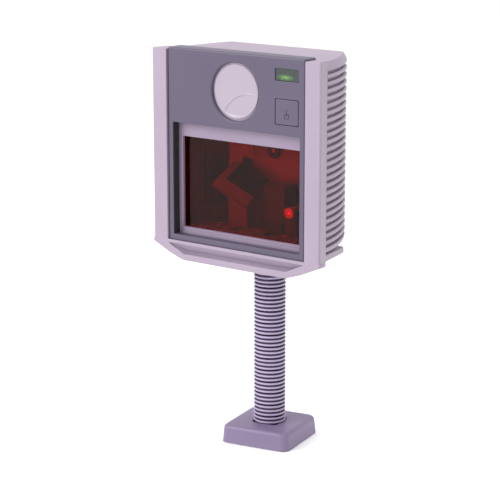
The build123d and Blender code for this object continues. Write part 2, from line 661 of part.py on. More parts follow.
with BuildPart() as status_leds:
    for x in (-6.0, 0.0, 6.0):
        pin(LED_X + x, LED_Z, BEZEL_BACK + 1.3, BOARD_Y, 1.5)
        block(LED_X + x - 2, LED_X + x + 2, BOARD_Y - 1, BOARD_Y, LED_Z - 2, LED_Z + 2)
save(status_leds.part, "status_leds")

SWITCH_FRONT = BEZEL_BACK + 1.3 + BUTTON_TRAVEL + 0.1
with BuildPart() as button_switch:
    block(LED_X - 3, LED_X + 3, SWITCH_FRONT + 0.7, BOARD_Y, BUTTON_Z - 3, BUTTON_Z + 3)
    pin(LED_X, BUTTON_Z, SWITCH_FRONT, SWITCH_FRONT + 0.7, 1.7)
save(button_switch.part, "button_switch")

with BuildPart() as board_screws:
    for x, z in BEZEL_BOSSES:
        pin(x, z, BOARD_Y - 3.5, BOARD_Y + BOARD_T, BOSS_HOLE_R)
        pin(x, z, BOARD_Y + BOARD_T, BOARD_Y + BOARD_T + 1.3, 1.9)
save(board_screws.part, "board_screws")

BEEPER_X, BEEPER_R, BEEPER_T = -40.0, 10.0, 4.0
with BuildPart() as beeper:
    pin(BEEPER_X, BADGE_Z, BEZEL_BACK, BEZEL_BACK + BEEPER_T, BEEPER_R)
save(beeper.part, "beeper")

# ================================ window =======================================================
with BuildPart() as window_frame:
    with BuildSketch(facing(TRAY_Y)):
        panel(-WINDOW_X + 0.4, WINDOW_X - 0.4, WINDOW_LOW + 0.3, WINDOW_HIGH - 0.3)
        with Locations((0, (GLASS_LOW + GLASS_HIGH) / 2)):
            Rectangle(2 * GLASS_X, GLASS_HIGH - GLASS_LOW, mode=Mode.SUBTRACT)
    extrude(amount=-TRAY_T)
    inner = window_frame.edges().group_by(Axis.Y)[0].filter_by(Axis.X).sort_by(Axis.Z)
    chamfer(inner[1], length=1.2)
save(window_frame.part, "window_frame")

GASKET_Y = TRAY_Y + TRAY_T
GLASS_Y = GASKET_Y + GASKET_T
glass_box = (-GLASS_X - GLASS_LAP, GLASS_X + GLASS_LAP, GLASS_LOW - GLASS_LAP, GLASS_HIGH + GLASS_LAP)
with BuildPart() as window_gasket:
    with BuildSketch(facing(GASKET_Y)):
        panel(*glass_box)
        with Locations((0, (GLASS_LOW + GLASS_HIGH) / 2)):
            Rectangle(2 * GLASS_X + 1, GLASS_HIGH - GLASS_LOW + 1, mode=Mode.SUBTRACT)
    extrude(amount=-GASKET_T)
save(window_gasket.part, "window_gasket")

with BuildPart() as scan_window:
    with BuildSketch(facing(GLASS_Y)):
        panel(*glass_box)
    extrude(amount=-GLASS_T)
save(scan_window.part, "scan_window")

# ================================ optics =======================================================
BENCH_FRONT_Y = GLASS_Y + GLASS_T + 0.4
bench_plan = [
    (-57.0, BENCH_FRONT_Y),
    (57.0, BENCH_FRONT_Y),
    (55.0, -4.0),
    (47.0, BENCH_BACK_Y + BENCH_T),
    (-47.0, BENCH_BACK_Y + BENCH_T),
    (-55.0, -4.0),
]
bench_inside = [
    (-57.0 + BENCH_T, BENCH_FRONT_Y - 1),
    (57.0 - BENCH_T, BENCH_FRONT_Y - 1),
    (55.0 - BENCH_T, -4.5),
    (46.0 - BENCH_T, BENCH_BACK_Y),
    (-46.0 + BENCH_T, BENCH_BACK_Y),
    (-55.0 + BENCH_T, -4.5),
]
RECESSES = [(-16.0, 5.0, -28.0, -15.0), (12.0, 33.0, -28.0, -14.0)]

with BuildPart() as optical_bench:
    with BuildSketch(Plane.XY.offset(FLOOR_TOP)):
        polygon(*bench_plan)
    extrude(amount=BENCH_CEILING - FLOOR_TOP)
    with BuildSketch(Plane.XY.offset(BENCH_Z)):
        polygon(*bench_inside)
    extrude(amount=BENCH_CEILING - BENCH_T - BENCH_Z, mode=Mode.SUBTRACT)
    for x_low, x_high, y_low, y_high in RECESSES:
        block(x_low, x_high, y_low, y_high, FLOOR_TOP + 0.6, BENCH_Z, mode=Mode.SUBTRACT)
    pin(HUB_X, HUB_Z, BENCH_BACK_Y, BENCH_BACK_Y + BENCH_T, WHEEL_R + 2, mode=Mode.SUBTRACT)
    for x, y in BENCH_SCREWS:
        rod(x, y, FLOOR_TOP, BENCH_Z, SCREW_R, mode=Mode.SUBTRACT)
save(optical_bench.part, "optical_bench")

with BuildPart() as bench_screws:
    for x, y in BENCH_SCREWS:
        rod(x, y, SHELL_BOTTOM + 0.3, BENCH_Z, SCREW_R)
        rod(x, y, BENCH_Z, BENCH_Z + 1.8, 2.6)
save(bench_screws.part, "bench_screws")

# the collecting mirror faces up and towards the window, on a slanted holder
MIRROR_AT = (-11.0, -13.0, 200.8)
mirror_plane = Plane(origin=MIRROR_AT, x_dir=(25.5, 0, -10.5), z_dir=(0.284, -0.664, 0.690))
MIRROR_W, MIRROR_D, MIRROR_T = 27.0, 17.0, 2.0
with BuildPart() as collecting_mirror:
    with BuildSketch(mirror_plane):
        Rectangle(MIRROR_W, MIRROR_D)
    extrude(amount=-MIRROR_T)
save(collecting_mirror.part, "collecting_mirror")

with BuildPart() as mirror_holder:
    with BuildSketch(mirror_plane.offset(-MIRROR_T)):
        with Locations((-3.5, -4.5)):
            Rectangle(MIRROR_W + 7, MIRROR_D + 9)
    extrude(amount=-5.0)
    with BuildSketch(Plane.XY.offset(BENCH_Z)):
        with Locations((-17.0, -11.0)):
            Rectangle(17.0, 12.0)
    extrude(until=Until.NEXT)
save(mirror_holder.part, "mirror_holder")

with BuildPart() as motor_plate:
    block(-17, 46, MOTOR_Y - 2, MOTOR_Y, 194, 241)
    pin(HUB_X, HUB_Z, MOTOR_Y - 2, MOTOR_Y, 3.5, mode=Mode.SUBTRACT)
save(motor_plate.part, "motor_plate")

with BuildPart() as spin_motor:
    pin(HUB_X, HUB_Z, MOTOR_Y, MOTOR_Y + 2.5, 11.0)
    pin(HUB_X, HUB_Z, MOTOR_Y - 2, MOTOR_Y, 3.5)
    pin(HUB_X, HUB_Z, MOTOR_Y - 4, MOTOR_Y - 2, 5.5)
    pin(HUB_X, HUB_Z, MOTOR_Y - 4, MOTOR_Y + 2.5, SHAFT_R + SHAFT_FIT, mode=Mode.SUBTRACT)
save(spin_motor.part, "spin_motor")

WHEEL_Y = MOTOR_Y + 3.0
with BuildPart() as polygon_mirror:
    with BuildSketch(facing(WHEEL_Y)):
        with Locations((HUB_X, HUB_Z)):
            RegularPolygon(radius=WHEEL_R, side_count=WHEEL_FACETS)
            Circle(SHAFT_R, mode=Mode.SUBTRACT)
    extrude(amount=-WHEEL_T)
save(polygon_mirror.part, "polygon_mirror")

with BuildPart() as motor_shaft:
    pin(HUB_X, HUB_Z, MOTOR_Y - 3.6, WHEEL_Y + WHEEL_T + 0.6, SHAFT_R)
save(motor_shaft.part, "motor_shaft")

LASER_BOX = (7.0, 27.0, -19.0, -3.0, 173.0, 200.0)
DIODE_X, DIODE_Z = 31.5, 182.0
with BuildPart() as laser_housing:
    block(*LASER_BOX)
    chamfer(laser_housing.edges().filter_by(Axis.Z).sort_by(Axis.X)[0], length=3.0)
    block(10.0, 24.0, -17.0, -6.0, BENCH_Z, 173.0)
save(laser_housing.part, "laser_housing")

with BuildPart() as laser_module:
    pin(DIODE_X, DIODE_Z, -20.0, -6.0, 4.0)
    pin(DIODE_X, DIODE_Z, -20.0, -18.5, 2.2, mode=Mode.SUBTRACT)
save(laser_module.part, "laser_module")

with BuildPart() as laser_lens:
    pin(DIODE_X, DIODE_Z, -19.6, -18.5, 2.2)
save(laser_lens.part, "laser_lens")

with BuildPart() as laser_bracket:
    block(27.5, 37.0, -19.0, -8.0, BENCH_Z, DIODE_Z)
    pin(DIODE_X, DIODE_Z, -21.0, -5.0, 4.0, mode=Mode.SUBTRACT)
save(laser_bracket.part, "laser_bracket")

# pattern mirrors stand round the wheel and fan the beam out
def upright_mirror(name, x, y, turn, width, low, high):
    """Thin standing mirror whose face is turned about Z."""
    with BuildPart() as mirror_strip:
        with BuildSketch(Plane((x, y, low), x_dir=(math.cos(turn), math.sin(turn), 0))):
            Rectangle(width, 2.0)
        extrude(amount=high - low)
    save(mirror_strip.part, name)


upright_mirror("pattern_mirror_left", -45.6, -6.0, math.radians(62), 18.0, 178.0, 238.0)
upright_mirror("pattern_mirror_centre", -29.5, 4.5, math.radians(14), 19.0, 190.0, 238.0)
upright_mirror("pattern_mirror_right", 48.6, -8.0, math.radians(108), 18.0, 178.0, 238.0)

# ================================ electronics ==================================================
MAIN_X, MAIN_Y, MAIN_LOW, MAIN_HIGH = 40.0, 16.4, 181.5, 282.0
CHIPS = [  # x range, z range and height of each block on the main board
    (-12.0, 4.0, 250.0, 266.0, 1.6),  # processor
    (14.0, 24.0, 252.0, 260.0, 1.4),  # memory
    (-36.0, -26.0, 228.0, 242.0, 1.4),  # motor driver
    (-34.0, -20.0, 190.0, 198.0, 3.5),  # header to the indicator board
    (26.0, 36.0, 186.0, 200.0, 3.5),  # header to the jack
]
CAPACITORS, CAPACITOR_Z, CAPACITOR_R, CAPACITOR_H = (-30.0, -22.0, 32.0), 272.0, 3.2, 3.8

with BuildPart() as main_board:
    block(-MAIN_X, MAIN_X, MAIN_Y, MAIN_Y + BOARD_T, MAIN_LOW, MAIN_HIGH)
save(main_board.part, "main_board")

with BuildPart() as board_chips:
    for x_low, x_high, z_low, z_high, height in CHIPS:
        block(x_low, x_high, MAIN_Y - height, MAIN_Y, z_low, z_high)
    for x in CAPACITORS:
        pin(x, CAPACITOR_Z, MAIN_Y - CAPACITOR_H, MAIN_Y, CAPACITOR_R)
save(board_chips.part, "board_chips")
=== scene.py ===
"""Looks of the presentation scanner: finned head, red window, ribbed mast and counter base.

Surfaces are grids of points in millimetres, in the frame's axes: X to the customer's right, Y away
from the customer and Z up. Sizes come from the frame, or are named beside the piece they belong to.
"""

import json
import math

import bmesh
import bpy
import numpy as np
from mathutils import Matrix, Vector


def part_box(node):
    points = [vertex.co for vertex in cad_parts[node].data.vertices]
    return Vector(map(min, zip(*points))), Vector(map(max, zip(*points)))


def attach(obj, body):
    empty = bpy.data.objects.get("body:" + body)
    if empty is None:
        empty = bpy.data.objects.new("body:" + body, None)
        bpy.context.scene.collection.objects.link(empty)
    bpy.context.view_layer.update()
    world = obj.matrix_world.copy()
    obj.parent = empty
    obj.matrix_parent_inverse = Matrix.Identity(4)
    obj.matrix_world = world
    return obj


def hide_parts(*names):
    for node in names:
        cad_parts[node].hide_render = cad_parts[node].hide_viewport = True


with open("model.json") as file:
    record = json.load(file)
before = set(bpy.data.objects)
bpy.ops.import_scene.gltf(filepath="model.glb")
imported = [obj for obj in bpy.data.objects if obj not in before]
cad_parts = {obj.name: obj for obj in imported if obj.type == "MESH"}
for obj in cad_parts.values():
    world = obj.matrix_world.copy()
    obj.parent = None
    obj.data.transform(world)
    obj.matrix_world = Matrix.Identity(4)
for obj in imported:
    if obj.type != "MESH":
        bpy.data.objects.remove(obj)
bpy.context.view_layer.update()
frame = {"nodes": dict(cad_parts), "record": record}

MM = 0.001  # metres in a millimetre


# ---- sizes read from the frame, in millimetres --------------------------------------------------
def span(node):
    """Lowest and highest corner of a CAD node, in millimetres."""
    low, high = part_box(node)
    return np.array(low) / MM, np.array(high) / MM


shell_low, shell_high = span("rear_housing")
bezel_low, bezel_high = span("front_bezel")
tray_low, tray_high = span("window_frame")
badge_low, badge_high = span("badge_disc")
cover_low, cover_high = span("base_cover")
jack_low, jack_high = span("cable_jack")
lens_low, lens_high = span("led_lens")
laser_low, laser_high = span("laser_lens")


# ---- camera and lamps ---------------------------------------------------------------------------
CAMERA_PLACE = (0.77556, -1.05709, 0.45834)  # metres
CAMERA_LENS = 130.19  # focal length in millimetres on a 36 mm sensor
CAMERA_DOWN, CAMERA_TURN = 13.39, 36.92  # degrees below level, and round to the right
LAMP_SIZE, LAMP_AIM = 0.8, (0, 0, 0.2)  # metres


def add_camera():
    """Camera on the customer's right, a little above the head."""
    data = bpy.data.cameras.new("camera")
    data.sensor_width = 36.0
    data.lens = CAMERA_LENS
    data.clip_end = 20.0
    camera = bpy.data.objects.new("camera", data)
    camera.location = CAMERA_PLACE
    camera.rotation_euler = (math.radians(90 - CAMERA_DOWN), 0, math.radians(CAMERA_TURN))
    bpy.context.scene.collection.objects.link(camera)
    bpy.context.scene.camera = camera


def add_softbox(name, place, aim, size, power):
    """Square area lamp, in metres and watts, at place and pointing at aim."""
    data = bpy.data.lights.new(name, "AREA")
    data.shape, data.size, data.energy = "SQUARE", size, power
    lamp = bpy.data.objects.new(name, data)
    lamp.location = place
    ahead = np.array(aim, float) - np.array(place, float)
    flat = math.hypot(ahead[0], ahead[1])
    lamp.rotation_euler = (math.atan2(flat, -ahead[2]), 0, math.atan2(-ahead[0], ahead[1]))
    bpy.context.scene.collection.objects.link(lamp)


# ---- mesh making --------------------------------------------------------------------------------
def link_mesh(name, mesh, material, body, stands_for=(), sharp=35):
    """Object for a mesh in the frame's axes, shaded smooth up to the sharp angle in degrees."""
    mesh.polygons.foreach_set("use_smooth", [True] * len(mesh.polygons))
    mesh.set_sharp_from_angle(angle=math.radians(sharp))
    mesh.materials.clear()
    mesh.materials.append(material)
    thing = bpy.data.objects.new(name, mesh)
    bpy.context.scene.collection.objects.link(thing)
    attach(thing, body)
    if stands_for:
        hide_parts(*stands_for)
    return thing


def piece(name, grids, material, body, stands_for=(), sharp=35):
    """Closed mesh sewn from grids of points. A grid is rows by columns by xyz, in millimetres, and
    each cell between four neighbours is a face. Points that meet are merged, which closes seams
    and poles, and faces are turned outward."""
    points, quads, first = [], [], 0
    for grid in grids:
        rows, columns = grid.shape[:2]
        index = first + np.arange(rows * columns).reshape(rows, columns)
        corners = (index[:-1, :-1], index[1:, :-1], index[1:, 1:], index[:-1, 1:])
        quads.append(np.stack(corners, -1).reshape(-1, 4))
        points.append(grid.reshape(-1, 3))
        first += rows * columns
    mesh = bpy.data.meshes.new(name)
    mesh.from_pydata(np.concatenate(points) * MM, [], np.concatenate(quads).tolist())
    work = bmesh.new()
    work.from_mesh(mesh)
    bmesh.ops.remove_doubles(work, verts=work.verts, dist=0.003 * MM)
    bmesh.ops.dissolve_degenerate(work, edges=work.edges, dist=0.001 * MM)
    bmesh.ops.recalc_face_normals(work, faces=work.faces)
    work.to_mesh(mesh)
    work.free()
    return link_mesh(name, mesh, material, body, stands_for, sharp)


def softened(node, material, edge, body, sharp=32, shortest=0.0):
    """Copy of a CAD node, merged to plain faces, with its sharp edges rounded to edge millimetres.
    Edges shorter than shortest stay sharp, because a rounding can't turn on a facet that small."""
    mesh = frame["nodes"][node].data.copy()
    work = bmesh.new()
    work.from_mesh(mesh)
    bmesh.ops.remove_doubles(work, verts=work.verts, dist=0.002 * MM)
    bmesh.ops.dissolve_limit(work, angle_limit=math.radians(0.5), verts=work.verts, edges=work.edges)
    weight = work.edges.layers.float.new("bevel_weight_edge")
    for line in work.edges:
        is_sharp = line.is_manifold and line.calc_face_angle() > math.radians(sharp)
        line[weight] = float(is_sharp and line.calc_length() > shortest * MM)
    work.to_mesh(mesh)
    work.free()
    thing = link_mesh(node + "_soft", mesh, material, body, (node,), sharp)
    rounded = thing.modifiers.new("rounded_edges", "BEVEL")
    rounded.width, rounded.segments = edge * MM, 3
    rounded.limit_method = "WEIGHT"
    rounded.use_clamp_overlap = False
    rounded.harden_normals = True
    return thing


def revolved(profile, centre=(0.0, 0.0), steps=96):
    """Surface of revolution: each profile row of radius and height is a full circle about Z."""
    turn = np.linspace(0, 2 * math.pi, steps + 1)
    radius, height = np.asarray(profile, float).T
    x = centre[0] + radius[:, None] * np.cos(turn)
    y = centre[1] + radius[:, None] * np.sin(turn)
    return np.stack([x, y, np.broadcast_to(height[:, None], x.shape)], -1)


def arc(centre, radius, start, end, steps):
    """Points on a circle from one angle to another, in degrees."""
    angle = np.radians(np.linspace(start, end, steps + 1))
    return np.stack([centre[0] + radius * np.cos(angle), centre[1] + radius * np.sin(angle)], -1)


def rounded_square(half, corner, steps=10):
    """Closed outline of a rounded square about the origin, corner by corner."""
    reach = half - corner
    corners = ((reach, -reach, -90), (reach, reach, 0), (-reach, reach, 90), (-reach, -reach, 180))
    runs = [arc((x, y), corner, start, start + 90, steps) for x, y, start in corners]
    loop = np.concatenate(runs)
    return np.concatenate([loop, loop[:1]])


def smooth(value):
    """Smooth step from 0 to 1 as value goes from 0 to 1."""
    held = np.clip(value, 0, 1)
    return held * held * (3 - 2 * held)


# ---- materials ----------------------------------------------------------------------------------
def linear(code):
    """Linear RGBA from an sRGB hex colour."""
    values = [int(code[i : i + 2], 16) / 255 for i in (1, 3, 5)]
    return tuple(v / 12.92 if v <= 0.04045 else ((v + 0.055) / 1.055) ** 2.4 for v in values) + (1,)


def add(tree, kind, settings=None, links=None):
    """Add one node. Settings and links are keyed by socket name or number, or by property name."""
    made = tree.nodes.new(kind)
    for key, value in (settings or {}).items():
        if isinstance(key, int) or key in made.inputs:
            made.inputs[key].default_value = value
        else:
            setattr(made, key, value)
    for key, output in (links or {}).items():
        tree.links.new(output, made.inputs[key])
    return made


def blank(name):
    """New node material: its tree, and its Object coordinates."""
    material = bpy.data.materials.new(name)
    material.use_nodes = True
    material.node_tree.nodes.clear()
    place = add(material.node_tree, "ShaderNodeTexCoord").outputs["Object"]
    return material, material.node_tree, place


def moulded(name, colour, shade, rough, grain=0.8, relief=0.012, ior=1.53, **sockets):
    """Injection-moulded plastic: an even colour that drifts a little over centimetres, and a
    spark-eroded grain, in millimetres, that breaks up the soft sheen."""
    material, tree, place = blank(name)
    grit = add(tree, "ShaderNodeTexNoise", {"Scale": 1 / (grain * MM), "Detail": 4.0}, {"Vector": place})
    drift = add(tree, "ShaderNodeTexNoise", {"Scale": 1 / (60 * MM), "Detail": 2.0}, {"Vector": place})
    both = add(
        tree,
        "ShaderNodeMath",
        {"operation": "MULTIPLY"},
        {0: grit.outputs["Fac"], 1: drift.outputs["Fac"]},
    )
    share = add(
        tree, "ShaderNodeMapRange", {"From Min": 0.12, "From Max": 0.4}, {"Value": both.outputs["Value"]}
    )
    tone = add(
        tree,
        "ShaderNodeMix",
        {"data_type": "RGBA", 6: linear(colour), 7: linear(shade)},
        {0: share.outputs["Result"]},
    )
    gloss = add(
        tree,
        "ShaderNodeMapRange",
        {"From Min": 0.3, "From Max": 0.7, "To Min": rough - 0.05, "To Max": rough + 0.05},
        {"Value": grit.outputs["Fac"]},
    )
    bump = add(
        tree,
        "ShaderNodeBump",
        {"Strength": 0.6, "Distance": relief * MM},
        {"Height": grit.outputs["Fac"]},
    )
    shader = add(
        tree,
        "ShaderNodeBsdfPrincipled",
        {"IOR": ior, **sockets},
        {
            "Base Color": tone.outputs[2],
            "Roughness": gloss.outputs["Result"],
            "Normal": bump.outputs["Normal"],
        },
    )
    add(tree, "ShaderNodeOutputMaterial", {}, {"Surface": shader.outputs["BSDF"]})
    return material


def plated(name, colour, rough, grain=0.4, stretch=(1, 1, 1)):
    """Bare or plated metal whose polish varies along fine rolling or turning marks."""
    material, tree, place = blank(name)
    along = add(tree, "ShaderNodeMapping", {"Scale": stretch}, {"Vector": place})
    marks = add(
        tree,
        "ShaderNodeTexNoise",
        {"Scale": 1 / (grain * MM), "Detail": 3.0},
        {"Vector": along.outputs["Vector"]},
    )
    gloss = add(
        tree,
        "ShaderNodeMapRange",
        {"To Min": rough - 0.1, "To Max": rough + 0.1},
        {"Value": marks.outputs["Fac"]},
    )
    bump = add(
        tree,
        "ShaderNodeBump",
        {"Strength": 0.3, "Distance": 0.01 * MM},
        {"Height": marks.outputs["Fac"]},
    )
    shader = add(
        tree,
        "ShaderNodeBsdfPrincipled",
        {"Base Color": linear(colour), "Metallic": 1.0},
        {"Roughness": gloss.outputs["Result"], "Normal": bump.outputs["Normal"]},
    )
    add(tree, "ShaderNodeOutputMaterial", {}, {"Surface": shader.outputs["BSDF"]})
    return material


def tinted_pane(name, tint, shadow_tint, rough, ior=1.49):
    """Clear plastic dyed through: it takes its colour from the light that crosses it, and light
    that falls through it is dyed too."""
    material, tree, _ = blank(name)
    glass = add(
        tree,
        "ShaderNodeBsdfPrincipled",
        {"Base Color": linear(tint), "Roughness": rough, "IOR": ior, "Transmission Weight": 1.0},
    )
    clear = add(tree, "ShaderNodeBsdfTransparent", {"Color": linear(shadow_tint)})
    ray = add(tree, "ShaderNodeLightPath")
    mixed = add(
        tree,
        "ShaderNodeMixShader",
        {},
        {0: ray.outputs["Is Shadow Ray"], 1: glass.outputs["BSDF"], 2: clear.outputs["BSDF"]},
    )
    add(tree, "ShaderNodeOutputMaterial", {}, {"Surface": mixed.outputs["Shader"]})
    return material


def ribbed_mast_with_painted_shade():
    """Vinyl-coated gooseneck: a painted highlight makes the rings paler at their crowns, and painted
    shade keeps the grooves between them dark. The tone follows the distance from the mast's axis."""
    material, tree, place = blank("ribbed_vinyl_painted_shade_and_highlight")
    apart = add(tree, "ShaderNodeSeparateXYZ", {}, {"Vector": place})
    flat = add(
        tree, "ShaderNodeCombineXYZ", {}, {"X": apart.outputs["X"], "Y": apart.outputs["Y"]}
    )
    radius = add(tree, "ShaderNodeVectorMath", {"operation": "LENGTH"}, {0: flat.outputs["Vector"]})
    # share from the grooves' painted shade to the crowns' painted highlight
    crown = add(
        tree,
        "ShaderNodeMapRange",
        {"From Min": (RING_R - 0.8) * MM, "From Max": (RING_R - 0.1) * MM},
        {"Value": radius.outputs["Value"]},
    )
    # 3F344D is painted shade for the grooves, #AA9BBB a painted highlight for the crowns
    tone = add(
        tree,
        "ShaderNodeMix",
        {"data_type": "RGBA", 6: linear("#3F344D"), 7: linear("#AA9BBB")},
        {0: crown.outputs["Result"]},
    )
    grit = add(tree, "ShaderNodeTexNoise", {"Scale": 1 / (0.7 * MM), "Detail": 3.0}, {"Vector": place})
    gloss = add(
        tree,
        "ShaderNodeMapRange",
        {"To Min": 0.32, "To Max": 0.52},
        {"Value": grit.outputs["Fac"]},
    )
    bump = add(
        tree,
        "ShaderNodeBump",
        {"Strength": 0.4, "Distance": 0.01 * MM},
        {"Height": grit.outputs["Fac"]},
    )
    shader = add(
        tree,
        "ShaderNodeBsdfPrincipled",
        {"IOR": 1.5},
        {
            "Base Color": tone.outputs[2],
            "Roughness": gloss.outputs["Result"],
            "Normal": bump.outputs["Normal"],
        },
    )
    add(tree, "ShaderNodeOutputMaterial", {}, {"Surface": shader.outputs["BSDF"]})
    return material


GLOW_LEFT, GLOW_DOWN = 1.6, 1.9  # where the green glow is centred, from the lens's middle
GLOW_WIDE, GLOW_HIGH = 9.5, 2.9  # how far it reaches


def lit_lens():
    """Smoked acrylic over a green lamp: dark and glossy, with a glow that is strongest low and left
    of the middle and falls off over a few millimetres."""
    material, tree, place = blank("smoked_acrylic")
    middle = (lens_low + lens_high) / 2 * MM
    glow_at = (middle[0] - GLOW_LEFT * MM, middle[1], middle[2] - GLOW_DOWN * MM)
    glow_size = (GLOW_WIDE * MM, GLOW_WIDE * MM, GLOW_HIGH * MM)
    centred = add(
        tree,
        "ShaderNodeMapping",
        {"vector_type": "TEXTURE", "Location": glow_at, "Scale": glow_size},
        {"Vector": place},
    )
    ball = add(
        tree,
        "ShaderNodeTexGradient",
        {"gradient_type": "QUADRATIC_SPHERE"},
        {"Vector": centred.outputs["Vector"]},
    )
    ripple = add(
        tree,
        "ShaderNodeTexNoise",
        {"Scale": 1 / (2.0 * MM), "Detail": 2.0},
        {"Vector": place},
    )
    strength = add(
        tree,
        "ShaderNodeMath",
        {"operation": "MULTIPLY"},
        {0: ball.outputs["Fac"], 1: ripple.outputs["Fac"]},
    )
    bright = add(
        tree,
        "ShaderNodeMapRange",
        {"From Max": 0.5, "To Max": 0.7},
        {"Value": strength.outputs["Value"]},
    )
    tone = add(
        tree,
        "ShaderNodeMix",
        {"data_type": "RGBA", 6: linear("#2A302E"), 7: linear("#454C49")},
        {0: ripple.outputs["Fac"]},
    )
    shader = add(
        tree,
        "ShaderNodeBsdfPrincipled",
        {"IOR": 1.49, "Roughness": 0.12, "Emission Color": linear("#8CE04A")},
        {"Base Color": tone.outputs[2], "Emission Strength": bright.outputs["Result"]},
    )
    add(tree, "ShaderNodeOutputMaterial", {}, {"Surface": shader.outputs["BSDF"]})
    return material


def glowing(name, colour, strength, middle, reach):
    """Clear lens over a lit source: its own light hides its surface at the middle, and fades to
    nothing at reach millimetres from there."""
    material, tree, place = blank(name)
    centred = add(
        tree,
        "ShaderNodeMapping",
        {"vector_type": "TEXTURE", "Location": middle * MM, "Scale": (reach * MM,) * 3},
        {"Vector": place},
    )
    ball = add(
        tree,
        "ShaderNodeTexGradient",
        {"gradient_type": "QUADRATIC_SPHERE"},
        {"Vector": centred.outputs["Vector"]},
    )
    level = add(
        tree,
        "ShaderNodeMapRange",
        {"From Max": 0.5, "To Max": strength},
        {"Value": ball.outputs["Fac"]},
    )
    shader = add(
        tree,
        "ShaderNodeBsdfPrincipled",
        {"Base Color": linear(colour), "Emission Color": linear(colour), "Roughness": 0.2},
        {"Emission Strength": level.outputs["Result"]},
    )
    add(tree, "ShaderNodeOutputMaterial", {}, {"Surface": shader.outputs["BSDF"]})
    return material


RING_R = 12.1  # crown of the mast's rings

# ABS with a fine spark-eroded skin, so light spreads softly over it
shell_abs = moulded("moulded_abs_pale", "#998A9C", "#938496", 0.46)
# the same ABS in other mixes: dark for the bezel, and between the two for tray, badge and base
bezel_abs = moulded("moulded_abs_slate", "#4F465C", "#4A4157", 0.42)
tray_abs = moulded("moulded_abs_tray", "#8A7A90", "#837489", 0.40)
badge_abs = moulded("moulded_abs_badge", "#9F94A3", "#998E9D", 0.38)
base_abs = moulded("moulded_abs_base", "#7B6C8B", "#756685", 0.44)
# glass-filled nylon of the optical bench: dull, so that stray light dies on it
bench_nylon = moulded("moulded_nylon_bench", "#665C5C", "#574F4F", 0.6)
black_nylon = moulded("moulded_nylon_black", "#1C1B1E", "#232226", 0.5)
# unfilled nylon of the bush and the washer that the head turns on
white_nylon = moulded("turned_nylon_white", "#E6E4DC", "#DDDAD0", 0.4)
# black rubber with a dull moulded skin
pad_rubber = moulded("moulded_rubber", "#232225", "#1B1A1D", 0.75, grain=0.5, relief=0.03, ior=1.5)
# copper-clad laminate under green solder mask: smooth and slightly glossy
board_mask = moulded("solder_mask_laminate", "#1F5A32", "#1A4E2B", 0.3, grain=2.0, relief=0.02)
# gooseneck vinyl with painted shade in its grooves and a painted highlight on its crowns
mast_vinyl_painted_shade = ribbed_mast_with_painted_shade()
# metals are stretched along Z, the way they were rolled or turned
zinc_steel = plated("zinc_plated_steel", "#C9CACC", 0.35, stretch=(1, 1, 6))
turned_brass = plated("turned_brass", "#D8B36A", 0.3, stretch=(1, 1, 8))
sheet_aluminium = plated("satin_aluminium_sheet", "#8C888E", 0.5, stretch=(1, 1, 10))
# aluminium coated on the front face; a little soft, so the bench shows in it only as tones
silvered = plated("front_coated_mirror", "#77727A", 0.16, grain=3.0)
# cast acrylic dyed deep red, polished on both faces. Acrylic's index is 1.49; this one is lower, so
# that the pane bends light and reflects less, and what lies behind it shows
red_acrylic = tinted_pane("dyed_acrylic_red", "#C93A30", "#E07A6C", 0.0, ior=1.2)
smoked = lit_lens()
laser_glow = glowing("laser_window", "#E8283C", 1.6, (laser_low + laser_high) / 2, 2.4)
led_glow = glowing("green_led", "#5BE048", 1.0, (lens_low + lens_high) / 2, 12.0)


# ---- finned shell -------------------------------------------------------------------------------
FRONT_Y = shell_low[1]  # the shell meets the front frame here
BACK_Y = shell_high[1]
TOP_Z, BOTTOM_Z = shell_high[2], shell_low[2]
SIDE_R, SIDE_LEAN, CORNER_R, CORNER_Y = 127.0, 7.5, 12.0, 22.07  # plan arcs of the side
FINS, FIN_PITCH, SLOT_H, SLOT_DEPTH, TOP_SLOT_Z = 25, 5.146, 2.4, 3.0, 287.9
TIP_R = 0.6  # rounding of a fin's tip
SLOT_END_X = 40.0
WALL, FLOOR_T, CEILING_DROP = 5.0, 2.4, 9.5
SHOULDER_RUN, SHOULDER_DROP = 2.5, 5.0
LEAN_START, LEAN_SHORT, EDGE_R = 0.15, 0.2, 0.8  # the shoulder's inset at its ends, and its top edge
BEVEL_RUN, BEVEL_DROP = 9.0, 7.0
TOP_ROW_Y = 13.0  # the top's first row in front of its bevel
CROWN_DROP, CROWN_X, CROWN_RUN = 1.1, 46.0, 22.0  # the top falls by this towards its sides
SLOT_FADE_X, SLOT_FADE = 39.0, 1.2  # the slots run out across this width near the back's middle

side_x = shell_high[0] - SIDE_R * math.cos(math.radians(SIDE_LEAN))
side_y = FRONT_Y - SIDE_R * math.sin(math.radians(SIDE_LEAN))
side_end = math.degrees(math.asin((CORNER_Y - side_y) / SIDE_R))
corner_x = side_x + (SIDE_R - CORNER_R) * math.cos(math.radians(side_end))
corner_y = side_y + (SIDE_R - CORNER_R) * math.sin(math.radians(side_end))


def shell_plan(inset):
    """Plan outline of the shell from its right front edge round the back to its left one, moved
    inward by inset: an arc of SIDE_R, a corner arc, a straight back, and the same mirrored. Inset
    is rows by columns, and each column keeps its place along the outline."""
    start = np.degrees(np.arcsin((FRONT_Y - side_y) / (SIDE_R - inset)))
    angle = np.radians(start + (side_end - start) * plan_share)
    turn = np.radians(side_end + (90 - side_end) * plan_share)
    side = side_x + (SIDE_R - inset) * np.cos(angle), side_y + (SIDE_R - inset) * np.sin(angle)
    corner = corner_x + (CORNER_R - inset) * np.cos(turn), corner_y + (CORNER_R - inset) * np.sin(turn)
    back = np.broadcast_to(plan_back_x, inset.shape), BACK_Y - inset
    x = np.where(plan_part == 0, side[0], np.where(plan_part == 1, corner[0], back[0]))
    y = np.where(plan_part == 0, side[1], np.where(plan_part == 1, corner[1], back[1]))
    return x * plan_mirror, y


